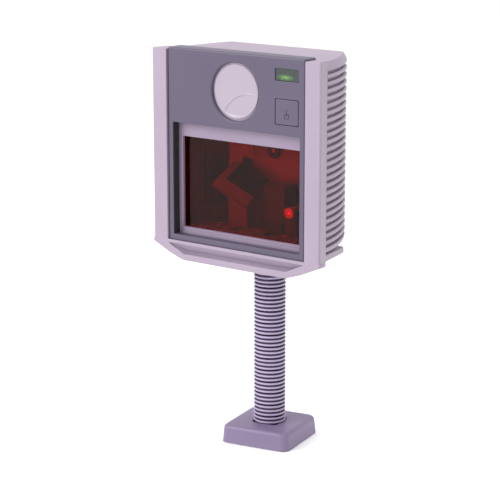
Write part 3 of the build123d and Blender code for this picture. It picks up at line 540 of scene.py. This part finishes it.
def plan_columns():
    """Columns along the outline: which run a column is on, its share of an arc, its X on the
    straight back, and the side of the shell it is on."""
    side, corner = np.linspace(0, 1, 27), np.linspace(0, 1, 15)[1:]
    slot_end = SLOT_END_X - np.array([-0.4, 0, 0.4, 0.8, 1.2])
    back = np.concatenate([slot_end, [34, jack_high[0], 26, 22, 18, jack_low[0], 10, 5]])
    run = np.concatenate([0 * side, 0 * corner + 1, 0 * back + 2])
    share = np.concatenate([side, corner, 0 * back])
    across = np.concatenate([0 * side, 0 * corner, back])
    parts = np.concatenate([run, [2], run[::-1]])
    shares = np.concatenate([share, [0], share[::-1]])
    acrosses = np.concatenate([across, [0], across[::-1]])
    mirror = np.concatenate([0 * run + 1, [1], 0 * run - 1])
    return parts, shares, acrosses, mirror


plan_part, plan_share, plan_back_x, plan_mirror = plan_columns()


def top_height(x, y):
    """Height of the shell's top: flat, falling slightly towards its sides, and bevelled straight
    down to the back."""
    crown = CROWN_DROP * smooth((np.abs(x) - CROWN_X) / CROWN_RUN)
    bevel = BEVEL_DROP / BEVEL_RUN * np.maximum(y - (BACK_Y - BEVEL_RUN), 0)
    return TOP_Z - crown - bevel


def fin_rows():
    """Inset and height of every row up the wall: each fin is a slab with rounded tips, each slot is
    as deep as SLOT_DEPTH, and above the top slot the wall leans in to the top."""
    heights, insets = [BOTTOM_Z, BOTTOM_Z], [TIP_R, TIP_R]
    tip = arc((0, 0), TIP_R, 0, 90, 4)
    for slot in reversed(range(FINS)):
        low = TOP_SLOT_Z - SLOT_H / 2 - slot * FIN_PITCH
        heights += list(low - TIP_R + tip[:, 1]) + [low, low + SLOT_H]
        insets += list(TIP_R - tip[:, 0]) + [SLOT_DEPTH, SLOT_DEPTH]
        heights += list(low + SLOT_H + TIP_R - tip[::-1, 1])
        insets += list(TIP_R - tip[::-1, 0])
    lean = np.linspace(0, 1, 24)
    heights += list(TOP_Z - SHOULDER_DROP + (SHOULDER_DROP - EDGE_R) * lean)
    insets += list(LEAN_START + (SHOULDER_RUN - LEAN_SHORT - LEAN_START) * lean)
    edge = arc((0, 0), 1.0, 0, 90, 5)[1:]
    heights += list(TOP_Z - EDGE_R + EDGE_R * edge[:, 1])
    insets += list(SHOULDER_RUN - LEAN_SHORT + EDGE_R * (1 - edge[:, 0]))
    return np.array(insets), np.array(heights)


def rows_nearest(heights, limit):
    """Numbers of the rows whose height is the nearest one to a limit."""
    nearest = heights[np.argmin(np.abs(heights - limit))]
    return np.flatnonzero(np.isclose(heights, nearest))


def around(grid, low, high, left, right):
    """The four parts of a grid that surround a hole between two rows and two columns."""
    below, above = grid[: low + 1, left : right + 1], grid[high:, left : right + 1]
    return [grid[:, : left + 1], grid[:, right:], below, above]


def finned_shell():
    """Hollow shell. Outside, the plan outline is carried up the fin profile, then drawn forward over
    the top at constant X. Inside, the same grid is carried up a plain wall. A flat rim joins both
    at the front, and a short tunnel joins both round the cable jack."""
    inset, height = fin_rows()
    run_out = smooth((np.abs(plan_back_x) - SLOT_FADE_X) / SLOT_FADE)
    slotted = np.where(plan_part == 2, run_out, 1.0)
    deep = inset[:, None] * np.where((height < TOP_Z - SHOULDER_DROP - 1)[:, None], slotted, 1.0)
    x, y = shell_plan(deep)
    z = np.minimum(height[:, None], top_height(x, y))
    steps = np.concatenate(
        [np.linspace(BACK_Y, BACK_Y - BEVEL_RUN, 8), np.linspace(TOP_ROW_Y, FRONT_Y, 12)]
    )
    top_y = np.minimum(y[-1], steps[:, None])
    top_x = np.broadcast_to(x[-1], top_y.shape)
    top = np.stack([top_x, top_y, top_height(top_x, top_y)], -1)
    floor_y = np.stack([y[0] * 0 + FRONT_Y, y[0]])
    floor = np.stack([np.broadcast_to(x[0], floor_y.shape), floor_y, floor_y * 0 + BOTTOM_Z], -1)
    outer = np.concatenate([floor[:1], np.stack([x, y, z], -1), top])

    ceiling, floor_z = TOP_Z - CEILING_DROP, BOTTOM_Z + FLOOR_T
    inner_x, inner_y = shell_plan(0 * deep + WALL)
    inner_z = np.broadcast_to(np.clip(height, floor_z, ceiling)[:, None], inner_x.shape)
    wall = np.stack([inner_x, inner_y, inner_z], -1)
    over_y = np.minimum(inner_y[-1], steps[:, None])
    over = np.stack([np.broadcast_to(inner_x[-1], over_y.shape), over_y, over_y * 0 + ceiling], -1)
    under = np.stack([inner_x[0], inner_y[0] * 0 + FRONT_Y, inner_y[0] * 0 + floor_z], -1)
    inner = np.concatenate([under[None], wall, over])

    # the rows nearest to the jack's hole move to its edges, and the cells inside it are left out
    low, high = (rows_nearest(height, limit) + 1 for limit in (jack_low[2], jack_high[2]))
    on_right = plan_mirror == 1
    left, right = (
        np.flatnonzero(on_right & (plan_back_x == limit))[0] for limit in (jack_high[0], jack_low[0])
    )
    for grid in (outer, inner):
        grid[low, left : right + 1, 2] = jack_low[2]
        grid[high, left : right + 1, 2] = jack_high[2]
    hole = low[-1], high[0], left, right

    joined = [
        np.stack([outer[0], inner[0]]),
        np.stack([outer[-1], inner[-1]]),
        np.stack([outer[:, 0], inner[:, 0]]),
        np.stack([outer[:, -1], inner[:, -1]]),
    ]
    across, upward = slice(left, right + 1), slice(hole[0], hole[1] + 1)
    joined += [np.stack([outer[row, across], inner[row, across]]) for row in hole[:2]]
    joined += [np.stack([outer[upward, column], inner[upward, column]]) for column in hole[2:]]
    return around(outer, *hole) + around(inner, *hole) + joined


piece("finned_shell", finned_shell(), shell_abs, "head", ("rear_housing",))


# ---- mast ---------------------------------------------------------------------------------------
CORE_R, BORE_R, BALL_R, SEAT_R = 10.4, 4.0, 9.4, 9.45
RING_PITCH, RING_W = 3.04, 1.86
HALF_GROOVE = (RING_PITCH - RING_W) / 2
BALL_H, SEAT_H = 2.5, 3.7
FIRST_GROOVE_Z, STEM_R = 13.3, 11.0  # the lowest groove, and the root's plain stem


def ring_profile(first_z, rings):
    """Radius and height down the outside of a stack of rings: each ring is a half round of RING_W
    that stands proud of the core."""
    half = RING_W / 2
    crown = arc((0, 0), half, -90, 90, 8)
    rows = []
    for ring in range(rings):
        middle = first_z + (ring + 0.5) * RING_PITCH
        rows += [(CORE_R, middle - half)]
        rows += [(RING_R - half + r, middle + z) for r, z in crown]
        rows += [(CORE_R, middle + half)]
    return rows


def segment_profile(foot_z, rings, has_seat, has_drum):
    """Closed profile of one rigid length of the mast: a seat in its foot, its rings outside, the
    ball-shaped drum on its top that the next length turns on, and a bore for the cable."""
    top_z = foot_z + rings * RING_PITCH
    rows = ring_profile(foot_z, rings)
    if has_drum:
        low, high = math.asin(-HALF_GROOVE / BALL_R), math.asin(BALL_H / BALL_R)
        drum = arc((0, top_z), BALL_R, math.degrees(low), math.degrees(high), 6)
        rows += [tuple(point) for point in drum] + [(BORE_R, top_z + BALL_H)]
    else:
        rows += [(CORE_R, top_z - HALF_GROOVE), (BORE_R, top_z - HALF_GROOVE)]
    if has_seat:
        low, high = math.asin(HALF_GROOVE / SEAT_R), math.asin(SEAT_H / SEAT_R)
        seat = arc((0, foot_z), SEAT_R, math.degrees(high), math.degrees(low), 6)
        rows += [(BORE_R, foot_z + SEAT_H)] + [tuple(point) for point in seat]
    else:
        rows += [(BORE_R, foot_z), (CORE_R, foot_z)]
    rows += [rows[0]]
    return rows


def mast():
    """The mast's root and its links, foot to top, each carried by its own body."""
    bodies = {"mast_root": "base"}
    for body, nodes in frame["record"]["behaviour"]["bodies"].items():
        bodies.update({node: body for node in nodes if node.startswith("mast_link")})
    names = sorted(bodies, key=lambda node: span(node)[0][2])
    top = span(names[-1])[1][2]
    foot = FIRST_GROOVE_Z
    for node in names:
        is_root, is_top = node == names[0], node == names[-1]
        rings = 2 if is_root else round((top + HALF_GROOVE - foot) / RING_PITCH) if is_top else 3
        profile = segment_profile(foot, rings, not is_root, not is_top)
        if is_root:
            low = span(node)[0][2]
            at = profile.index((BORE_R, foot))
            profile[at:] = [(BORE_R, low), (STEM_R, low), (STEM_R, foot), (CORE_R, foot), profile[0]]
        piece(node + "_rings", [revolved(profile)], mast_vinyl_painted_shade, bodies[node], (node,))
        foot += rings * RING_PITCH


mast()


# ---- base ---------------------------------------------------------------------------------------
BASE_W, BASE_TURN, BASE_TAPER, BASE_CORNER, BASE_WALL = 56.0, 9.9, 5.0, 6.0, 2.2
TOP_FILLET, HOLE_R = 3.0, 13.4
RIM_RUN, RIM_RISE = 0.15, 0.25  # tiny chamfer at the foot of the sides
CORNER_SHRINK = 0.3  # a corner's radius shrinks by this share of the inset


def base_cover():
    """Square cover with soft edges. A rounded square is carried up the sloping sides and over the
    top fillet, shrinks and turns into the circle of the mast's hole, goes down the hole and comes
    back under the top and down inside the sides."""
    turn = math.radians(BASE_TURN)
    rim, top = cover_low[2], cover_high[2]
    slope = math.tan(math.radians(BASE_TAPER))
    fillet = arc((0, 0), TOP_FILLET, 0, 90 - BASE_TAPER, 8)
    edge = slope * (top - rim - TOP_FILLET)
    rows = [(0.0, rim), (RIM_RUN, rim + RIM_RISE), (edge, top - TOP_FILLET)]
    rows += [(edge + TOP_FILLET - r, top - TOP_FILLET + z) for r, z in fillet[1:]]
    outside = [flat_loop(BASE_W / 2 - inset, BASE_CORNER - CORNER_SHRINK * inset, z)
               for inset, z in rows]
    flat = outside[-1]
    angle = np.arctan2(flat[:, 1], flat[:, 0])
    hole = np.stack([HOLE_R * np.cos(angle), HOLE_R * np.sin(angle), 0 * angle + top], -1)
    lip = [(0.5, 0.0), (0.15, -0.15), (0.0, -0.5), (0.0, -BASE_WALL)]
    rings = [hole * (1 + grow / HOLE_R, 1 + grow / HOLE_R, 1) + (0, 0, drop) for grow, drop in lip]
    over = [flat + (rings[0] - flat) * share for share in (0.2, 0.5, 0.8)]
    inside = [
        flat_loop(BASE_W / 2 - edge - BASE_WALL, BASE_CORNER - BASE_WALL, top - BASE_WALL),
        flat_loop(BASE_W / 2 - BASE_WALL, BASE_CORNER - BASE_WALL, rim),
    ]
    grid = np.stack(outside + over + rings + inside + outside[:1])
    x, y = grid[..., 0].copy(), grid[..., 1].copy()
    grid[..., 0] = x * math.cos(turn) - y * math.sin(turn)
    grid[..., 1] = x * math.sin(turn) + y * math.cos(turn)
    return grid


def flat_loop(half, corner, height):
    """Rounded square at one height."""
    loop = rounded_square(half, corner)
    return np.concatenate([loop, np.full((len(loop), 1), height)], -1)


piece("soft_edged_cover", [base_cover()], base_abs, "base", ("base_cover",))


# ---- badge --------------------------------------------------------------------------------------
BADGE_LAP, FLANGE_T = 3.1, 1.5  # the disc's hidden flange: past its face, and thick
ARC_X, ARC_DROP, ARC_R = 12.1, 26.1, 25.2
DISC_RIM_R = 0.8  # rounding of the disc's edge
BEAD_H, BEAD_HALF = 0.3, 0.45
STEP_H, STEP_RUN, DISH = 0.35, 0.7, 0.05  # dish is depth per millimetre from the arc


def badge():
    """Disc with a soft rim. Its face is a height over polar rings: along a large arc runs a fine
    bead, and inside the arc the face steps down by a third of a millimetre and then dishes slowly
    away from it."""
    middle = (badge_low + badge_high) / 2
    outer = badge_high[0] - BADGE_LAP
    face_y, back_y = badge_low[1], badge_high[1]
    turn = np.linspace(0, 2 * math.pi, 241)
    flat_r = outer - DISC_RIM_R
    over_rim = np.sin(np.linspace(0, math.pi / 2, 7)[1:])
    radius = np.concatenate([np.linspace(0, flat_r, 90), flat_r + DISC_RIM_R * over_rim])
    x = radius[:, None] * np.cos(turn)
    z = radius[:, None] * np.sin(turn)
    inside = ARC_R - np.hypot(x - ARC_X, z + ARC_DROP)
    bead = BEAD_H * np.exp(-((inside / BEAD_HALF) ** 2))
    step = STEP_H * smooth(inside / STEP_RUN) + DISH * np.maximum(inside, 0) - bead
    fade = smooth((outer - 0.9 - radius) / 2.0)[:, None]
    past = np.maximum(radius - flat_r, 0)
    rim = DISC_RIM_R - np.sqrt(np.maximum(DISC_RIM_R**2 - past**2, 0))[:, None]
    face = np.stack([middle[0] + x, face_y + step * fade + rim, middle[2] + z], -1)
    lap_y = back_y - FLANGE_T
    sides = [(outer, lap_y), (badge_high[0], lap_y), (badge_high[0], back_y), (0, back_y)]
    rows = [np.stack([middle[0] + r * np.cos(turn), 0 * turn + y, middle[2] + r * np.sin(turn)], -1)
            for r, y in sides]
    return np.concatenate([face, np.stack(rows)])


piece("badge_dished", [badge()], badge_abs, "head", ("badge_disc",), sharp=50)


# ---- window tray --------------------------------------------------------------------------------
GLASS_X, GLASS_LOW, GLASS_HIGH = 53.4, 163.8, 232.0  # the opening
TRAY_LIP = 0.8


def window_tray():
    """Frame round the glass. A stepped profile is carried round it from the inner edge to the outer
    one: all sides start with a small bright chamfer, and along the sill two shallow steps follow. A
    hidden lip goes on behind the walls of the well, so that no light leaks past the frame."""
    inner = (-GLASS_X, GLASS_X, GLASS_LOW, GLASS_HIGH)
    outer = (tray_low[0], tray_high[0], tray_low[2], tray_high[2])
    lip = (outer[0] - TRAY_LIP, outer[1] + TRAY_LIP, outer[2] - TRAY_LIP, outer[3] + TRAY_LIP)
    along = np.linspace(0, 1, 9)

    def loop(box):
        """Corners of a rectangle joined by straight sides, closed."""
        x_low, x_high, z_low, z_high = box
        x = np.concatenate([x_low + (x_high - x_low) * along, 0 * along + x_high,
                            x_high - (x_high - x_low) * along, 0 * along + x_low])
        z = np.concatenate([0 * along + z_low, z_low + (z_high - z_low) * along,
                            0 * along + z_high, z_high - (z_high - z_low) * along])
        return x, z

    (x_in, z_in), (x_out, z_out), (x_lip, z_lip) = loop(inner), loop(outer), loop(lip)
    sill = (z_in < GLASS_LOW + 0.01) * 1.0
    face = tray_low[1]
    # share of the way across the frame, then how deep each place lies on the sill and elsewhere
    share = np.array([0, 0, 0.10, 0.14, 0.34, 0.36, 0.40, 0.62, 0.64, 0.68, 1])
    depth = np.array([2.5, 1.2, 0.35, 0.3, 0.22, 0.6, 0.66, 0.42, 0.05, 0, 0, 0, 2.5, 2.5])
    plain = np.array([2.5, 0.5, 0.05, 0, 0, 0, 0, 0, 0, 0, 0, 0, 2.5, 2.5])
    x = np.concatenate([x_in + (x_out - x_in) * share[:, None], [x_lip, x_lip, x_in]])
    z = np.concatenate([z_in + (z_out - z_in) * share[:, None], [z_lip, z_lip, z_in]])
    y = face + depth[:, None] * sill + plain[:, None] * (1 - sill)
    return np.stack([x, np.broadcast_to(y, x.shape), z], -1)


piece("stepped_tray", [window_tray()], tray_abs, "head", ("window_frame",))


# ---- dark strips: painted shade beside the bezel, and black strips on the well's walls ----------
def dark_strip(middle_x, half, depths, heights):
    """Upright black strip: a flat section whose front end is a half circle is carried up between two
    heights. Both ends close on the section's middle."""
    front, back = depths
    nose = arc((0, front + half), half, 180, 360, 6)
    section = np.concatenate([nose, [(half, back), (-half, back)], nose[:1]]) + (middle_x, 0)
    middle = np.broadcast_to(section.mean(0), section.shape)
    low, high = heights
    rows = [(middle, low), (section, low), (section, high), (middle, high)]
    return np.stack([np.insert(points, 2, height, axis=1) for points, height in rows])


WELL_X, WELL_STRIP_HALF, WELL_STRIP_HEIGHTS = 57.0, 0.15, (159.1, 242.9)  # black strips that darken the well's side walls
SLOT_X, PAINTED_GAP_SHADE_HALF, PAINTED_GAP_SHADE_HEIGHTS = 62.0, 0.35, (155.0, 294.0)  # painted shade: black strips in the gaps between the bezel and the bumpers
well_depths = bezel_low[1] + 0.7, tray_low[1] - 0.1
gap_depths = bezel_low[1] + 2.6, bezel_low[1] + 5.0
gap_x = (bezel_high[0] + SLOT_X) / 2
for side, hand in ((-1, "left"), (1, "right")):
    strip = dark_strip(side * (WELL_X - WELL_STRIP_HALF), WELL_STRIP_HALF, well_depths, WELL_STRIP_HEIGHTS)
    piece("well_black_strip_" + hand, [strip], pad_rubber, "head", ())
    # painted shade: a black strip in the gap beside the bezel, where shadow falls
    strip = dark_strip(side * gap_x, PAINTED_GAP_SHADE_HALF, gap_depths, PAINTED_GAP_SHADE_HEIGHTS)
    piece("gap_painted_shade_" + hand, [strip], pad_rubber, "head", ())


# ---- parts that keep their CAD shape, with softened edges ----------------------------------------
softened("front_housing", shell_abs, 0.45, "head", shortest=1.2)
softened("front_bezel", bezel_abs, 0.35, "head")
softened("led_lens", smoked, 0.25, "head")
softened("power_button", bezel_abs, 0.2, "button")
softened("laser_housing", black_nylon, 0.5, "head")
softened("mirror_holder", bench_nylon, 0.4, "head")

finishes = {
    "scan_window": red_acrylic,
    "optical_bench": bench_nylon,
    "base_pad": pad_rubber,
    "window_gasket": pad_rubber,
    "base_plate": zinc_steel,
    "mount_plate": zinc_steel,
    "mast_socket": zinc_steel,
    "mast_ferrule": zinc_steel,
    "swivel_nut": turned_brass,
    "swivel_washer": zinc_steel,
    "swivel_bush": white_nylon,
    "slip_washer": white_nylon,
    "motor_plate": sheet_aluminium,
    "spin_motor": black_nylon,
    "polygon_mirror": silvered,
    "motor_shaft": zinc_steel,
    "collecting_mirror": silvered,
    "pattern_mirror_left": silvered,
    "pattern_mirror_centre": silvered,
    "pattern_mirror_right": silvered,
    "laser_module": turned_brass,
    "laser_lens": laser_glow,
    "laser_bracket": black_nylon,
    "cable_jack": black_nylon,
    "beeper": black_nylon,
    "button_switch": black_nylon,
    "board_chips": black_nylon,
    "main_board": board_mask,
    "indicator_board": board_mask,
    "status_leds": led_glow,
}
for node, thing in frame["nodes"].items():
    if not thing.hide_render:
        thing.data.materials.clear()
        thing.data.materials.append(finishes.get(node, zinc_steel))


# ---- studio -------------------------------------------------------------------------------------
FLOOR_HALF, FLOOR_DROP = 4.0, 0.0002  # metres; the paper lies just under the pad


def studio():
    """White paper floor, a white surround and two square softboxes."""
    side = np.array([-FLOOR_HALF, FLOOR_HALF])
    x, y = np.meshgrid(side, side)
    mesh = bpy.data.meshes.new("paper_floor")
    points = np.stack([x, y, 0 * x - FLOOR_DROP], -1).reshape(-1, 3)
    mesh.from_pydata(points, [], [(0, 1, 3, 2)])
    floor = bpy.data.objects.new("paper_floor", mesh)
    bpy.context.scene.collection.objects.link(floor)
    mesh.materials.append(moulded("matt_white_paper", "#FFFFFF", "#FFFFFF", 0.9, relief=0.0))
    world = bpy.data.worlds.new("white_surround")
    world.use_nodes = True
    world.node_tree.nodes["Background"].inputs["Color"].default_value = (1, 1, 1, 1)
    world.node_tree.nodes["Background"].inputs["Strength"].default_value = 1.0
    bpy.context.scene.world = world
    bpy.context.scene.view_settings.view_transform = "Standard"
    add_softbox("key", (-0.75, -1.2, 1.0), LAMP_AIM, LAMP_SIZE, 18)
    add_softbox("top_light", (0.1, 0.2, 1.5), LAMP_AIM, LAMP_SIZE, 6)
    add_camera()


studio()
